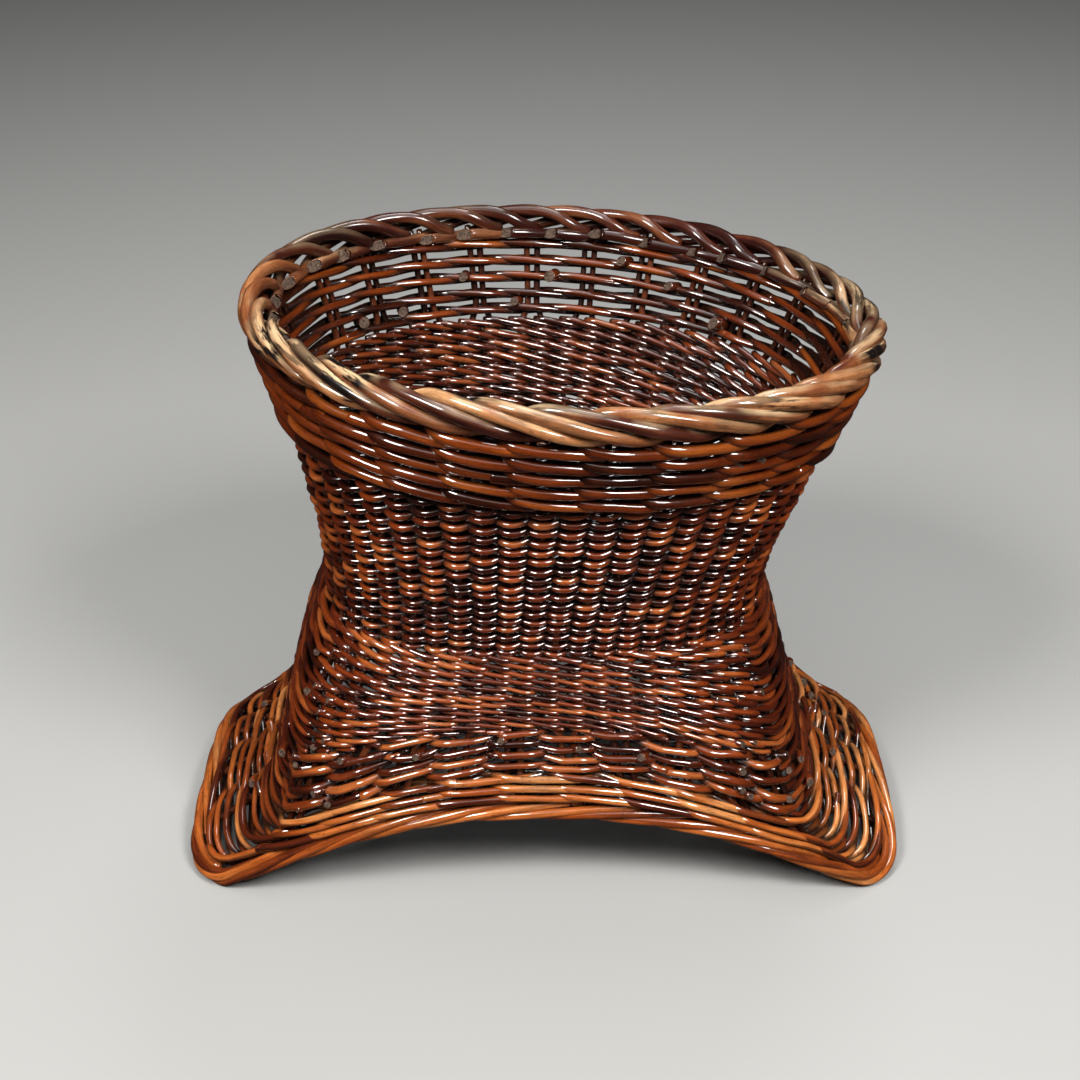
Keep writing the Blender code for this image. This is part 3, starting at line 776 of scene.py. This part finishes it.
def foot_radius(rho, s):
    rows_ = np.arange(fine)
    w = side_share(s)
    v = np.interp(rho, rows_, fine_level)
    wide = (np.linalg.norm(wall(s, v + 0.01) - wall(s, v - 0.01), axis=-1)
            / np.linalg.norm(wall(np.full(len(s), FRONT_MIDDLE), v + 0.01)
                             - wall(np.full(len(s), FRONT_MIDDLE), v - 0.01), axis=-1))
    wide = wide * (1 - w) + np.interp(rho, rows_, fine_side_width / fine_width) * w
    return np.interp(rho, rows_, fine_width) * 0.84 * np.clip(wide, 0.9, 1.55)


middle = 3 * round(float(np.interp(-0.38, -fine_level, np.arange(fine))) / 3) + 1
parts = [Bundle(), Bundle()]
for i in range(STAKES):
    strand(parts[0], foot_level, i, 0, middle, foot_radius, -1)
    strand(parts[1], foot_level, i, middle, fine - 1, foot_radius, -1)
butts(parts[0], left_ridge(4, (0.38, 0.5)) + right_ridge(2, (0.38, 0.5)), 2.0 * MM)
butts(parts[1], left_ridge(5, (0.26, 0.38)) + right_ridge(3, (0.26, 0.38)), 2.0 * MM)
for k in range(2):
    parts[k].build("foot_weave_rods_%d" % (k + 1), ["foot_weave_%d" % (k + 1)], "willow_weave", MAT_WEAVE)

side_plan = []
for k in range(8):
    side_plan.append((k, 1.0))
    if k in (1, 4, 7):
        side_plan += [("x", 1.0), ("x", 1.0)]
rows = zone(0.26, 0.13, np.ones(8), side_plan)
parts = [Bundle(), Bundle()]
for r in rows:
    b = parts[0 if r["side"] > 0.195 else 1]
    if r["kind"] == "row":
        full_row(b, r, 1.95 * MM, phase)
    else:
        packing(b, r, 1.95 * MM, phase)
    phase += 1
butts(parts[0], left_ridge(4, (0.2, 0.26)) + right_ridge(4, (0.2, 0.26))
      + scatter(4, (4, FRONT_GAPS - 4), (0.2, 0.26)), 2.2 * MM)
butts(parts[1], left_ridge(3, (0.14, 0.19)) + right_ridge(4, (0.14, 0.19)) + wings(3, (0.14, 0.19)), 2.2 * MM)
for k in range(2):
    parts[k].build("skirt_rods_%d" % (k + 1), ["skirt_weave_%d" % (k + 1)], "willow_skirt", MAT_SKIRT)

side_plan = [(0, 1.45)] + [("x", 1.0)] * 5 + [(1, 1.45)] + [("x", 1.0)] * 5 + [(2, 1.45)]
rows = zone(0.13, 0.035, np.ones(3), side_plan, 0.011)
parts = [Bundle(), Bundle()]
for r in rows:
    b = parts[0 if r["side"] > 0.085 else 1]
    if r["kind"] == "row":
        wale_row(b, r, 2.2 * MM, 0.9 * MM, 1.8 * MM)
    else:
        packing(b, r, 1.95 * MM, phase)
        phase += 1
for k in range(2):
    butts(parts[k], wings(4, (0.05, 0.12)), 2.3 * MM)
for k in range(2):
    parts[k].build("foot_wale_rods_%d" % (k + 1), ["foot_wale_%d" % (k + 1)], "willow_foot", MAT_FOOT)


# --------------------------------------------------------------------- borders
def ring_table(v):
    """A border's centreline by running length: length of each s, total."""
    s = np.linspace(0, STAKES, 2401)
    p = wall(s, np.full(len(s), v))
    arc = np.concatenate([[0], np.cumsum(np.linalg.norm(np.diff(p, axis=0), axis=1))])
    return s, arc


def eased(x, xs, ys):
    """Smooth curve through table points."""
    x = np.asarray(x, float)
    xs, ys = np.asarray(xs, float), np.asarray(ys, float)
    slope = np.gradient(ys, xs)
    k = np.clip(np.searchsorted(xs, x) - 1, 0, len(xs) - 2)
    h = xs[k + 1] - xs[k]
    t = (x - xs[k]) / h
    return ((2 * t ** 3 - 3 * t ** 2 + 1) * ys[k] + (t ** 3 - 2 * t ** 2 + t) * h * slope[k]
            + (-2 * t ** 3 + 3 * t ** 2) * ys[k + 1] + (t ** 3 - t ** 2) * h * slope[k + 1])


def border(bundle, v, count, run, turn_at, turn, reach_at, reach, radius, points, end, start):
    """Rods rolled round an edge.  Each runs along it for so many spacings while
    it turns from inside over the edge to outside and back."""
    s_tab, arc = ring_table(v)
    total = arc[-1]
    gap = total / count
    for m in range(count):
        d = np.linspace(0, run * RNG.uniform(0.97, 1.03), points)
        a = (m + RNG.normal() * 0.06) * gap + d * gap
        s = np.interp(np.mod(a, total), arc, s_tab)
        p, n, _ = wall_frame(s, np.full(points, v))
        side = n.copy()
        side[:, 2] = 0
        side = unit(side)
        up = np.zeros_like(side)
        up[:, 2] = 1
        ang = np.radians(eased(d, turn_at, turn)) + RNG.normal() * 0.07
        rad = eased(d, reach_at, reach) * MM * (1 + RNG.normal() * 0.03)
        path = relax(p + (rad * np.cos(ang))[:, None] * side + (rad * np.sin(ang))[:, None] * up, 6)
        r = radius * RNG.uniform(0.92, 1.06) * np.linspace(1.04, 0.94, points)
        tip = unit(np.gradient(path, axis=0))[-1]
        bundle.rod(path, r, side, 12, RNG.uniform(0.15, 0.85), 0.95, start, end, unit(0.6 * up[-1] - 0.8 * side[-1]))


b = Bundle()
border(b, 1.0, 33, 4.75,
       (0, 0.25, 0.5, 0.75, 1.05, 1.7, 2.4, 3.0, 3.4, 3.8, 4.2, 5.0),
       (240, 198, 154, 118, 90, 50, 6, -38, -75, -114, -140, -152),
       (0, 0.5, 1.2, 2.6, 3.4, 3.9, 4.4, 5.0), (6.0, 6.3, 6.5, 6.5, 7.4, 8.8, 10.4, 11.0),
       3.6 * MM, 60, "cut", "tuck")
b.build("rim_rods", ["rim_border"], "willow_rim", MAT_RIM)

b = Bundle()
border(b, 0.0, 34, 3.9,
       (0, 0.3, 0.7, 1.4, 2.2, 3.0, 3.5, 4.1), (-175, -125, -80, -28, 20, 72, 118, 160),
       (0, 4.1), (4.3, 4.3), 2.75 * MM, 44, "tuck", "round")
b.build("foot_border_rods", ["foot_border"], "willow_foot", MAT_FOOT, floor=0.0)

# ----------------------------------------------------------------------- floor
FLOOR_Z = 0.1692
STICK_X = (-0.076, -0.038, 0.0, 0.038, 0.076)
ring = wall(np.linspace(0, STAKES, 800), np.full(800, 0.5))
ang = np.unwrap(np.arctan2(ring[:, 1], ring[:, 0]))
inner = ring[:, :2] - unit(ring[:, :2]) * 0.0065


def half_width(y):
    """How far the floor reaches to each side at this depth."""
    right = inner[inner[:, 0] > 0]
    left = inner[inner[:, 0] < 0]
    rx = right[np.argsort(right[:, 1])]
    lx = left[np.argsort(left[:, 1])]
    return np.interp(y, lx[:, 1], lx[:, 0]), np.interp(y, rx[:, 1], rx[:, 0])


b = Bundle()
for k, x in enumerate(STICK_X):
    near = np.abs(inner[:, 0] - x) < 0.004
    y0, y1 = inner[near, 1].min(), inner[near, 1].max()
    y = np.linspace(y0, y1, 40)
    for dx in (-1.5 * MM, 1.5 * MM):
        path = np.stack([np.full(40, x + dx) + 0.3 * MM * np.sin(y * 60 + k), y, np.full(40, FLOOR_Z)], -1)
        b.rod(path, 1.9 * MM, np.tile([0.0, 0, 1], (40, 1)), 8, None, 0.6)
b.build("floor_stick_rods", ["floor_stick_%d" % k for k in range(1, 6)], "willow_floor", MAT_FLOOR)

b = Bundle()
pitch = 3.3 * MM
depth = np.arange(inner[:, 1].min() + 2.5 * MM, inner[:, 1].max() - 2.5 * MM, pitch)
for k, y in enumerate(depth):
    x0, x1 = half_width(y)
    if x1 - x0 < 0.02:
        continue
    x = np.linspace(x0, x1, max(12, int((x1 - x0) / 0.0035)))
    c = np.cos(np.pi * (x / 0.038 + k))
    z = FLOOR_Z + (1.9 + 1.65 - 0.4) * MM * c * (1.2 - 0.2 * c * c)
    path = np.stack([x, np.full(len(x), y) + 0.35 * MM * np.sin(x * 80 + k * 2.4), z], -1)
    # crest falls midway between the sticks, which paints shade there
    b.rod(path, 1.65 * MM * RNG.uniform(0.93, 1.05), np.tile([0.0, 0, 1], (len(x), 1)), 7, None, np.abs(c))
b.build("floor_weave_rods", ["floor_weave"], "willow_floor", MAT_FLOOR)

# ----------------------------------------------------------------------- stage
me = bpy.data.meshes.new("studio_floor")
me.from_pydata([(-7, -7, 0), (7, -7, 0), (7, 7, 0), (-7, 7, 0)], [], [(0, 1, 2, 3)])
ground = bpy.data.objects.new("studio_floor", me)
bpy.context.scene.collection.objects.link(ground)
gm = bpy.data.materials.new("pale_floor")
gm.use_nodes = True
pb = gm.node_tree.nodes["Principled BSDF"]
pb.inputs["Base Color"].default_value = (0.30, 0.30, 0.292, 1)
pb.inputs["Roughness"].default_value = 0.75
me.materials.append(gm)
ground.visible_glossy = False                 # the varnish mirrors the lamps, not the pale floor

world = bpy.data.worlds.new("studio")
bpy.context.scene.world = world
world.use_nodes = True
bg = world.node_tree.nodes["Background"]
bg.inputs["Color"].default_value = (0.95, 0.97, 1.0, 1)
bg.inputs["Strength"].default_value = 0.02


def lamp(name, place, aim, size, power, colour=(1, 1, 1)):
    li = bpy.data.lights.new(name, "AREA")
    li.shape = "RECTANGLE"
    li.size, li.size_y = size
    li.energy = power
    li.color = colour
    ob = bpy.data.objects.new(name, li)
    ob.location = place
    ob.rotation_euler = (Vector(aim) - Vector(place)).to_track_quat("-Z", "Y").to_euler()
    bpy.context.scene.collection.objects.link(ob)


lamp("strip", (0, -1.25, 1.75), (0, 0, 0.2), (2.2, 0.7), 7, (1.0, 0.985, 0.96))
lamp("key_left", (-0.9, -0.95, 1.65), (0, 0, 0.2), (0.58, 0.58), 46, (1.0, 0.98, 0.95))
lamp("key_right", (0.85, -1.0, 1.6), (0, 0, 0.2), (0.58, 0.58), 46, (1.0, 0.98, 0.96))
lamp("back", (0.3, 0.95, 2.3), (0, 0, 0.25), (0.6, 0.5), 14, (0.97, 0.98, 1.0))
lamp("sky", (0, -0.1, 2.5), (0, 0, 0), (1.2, 1.2), 16, (0.96, 0.98, 1.0))
view = bpy.context.scene.view_settings
view.view_transform = "Standard"
view.look = "None"

# ---------------------------------------------------------------------- camera
cam = bpy.data.cameras.new("camera")
cam.sensor_width = 36.0
cam.lens = 36.0 * 1648.0 / 1080.0
cam.shift_x = -8.0 / 1080.0
cam.clip_start, cam.clip_end = 0.05, 60
co = bpy.data.objects.new("camera", cam)
aim = Vector((0.0024, 0.0, 0.1838))
el = math.radians(31.0)
co.location = aim + 1.0112 * Vector((0, -math.cos(el), math.sin(el)))
co.rotation_euler = (aim - co.location).to_track_quat("-Z", "Y").to_euler()
bpy.context.scene.collection.objects.link(co)
bpy.context.scene.camera = co
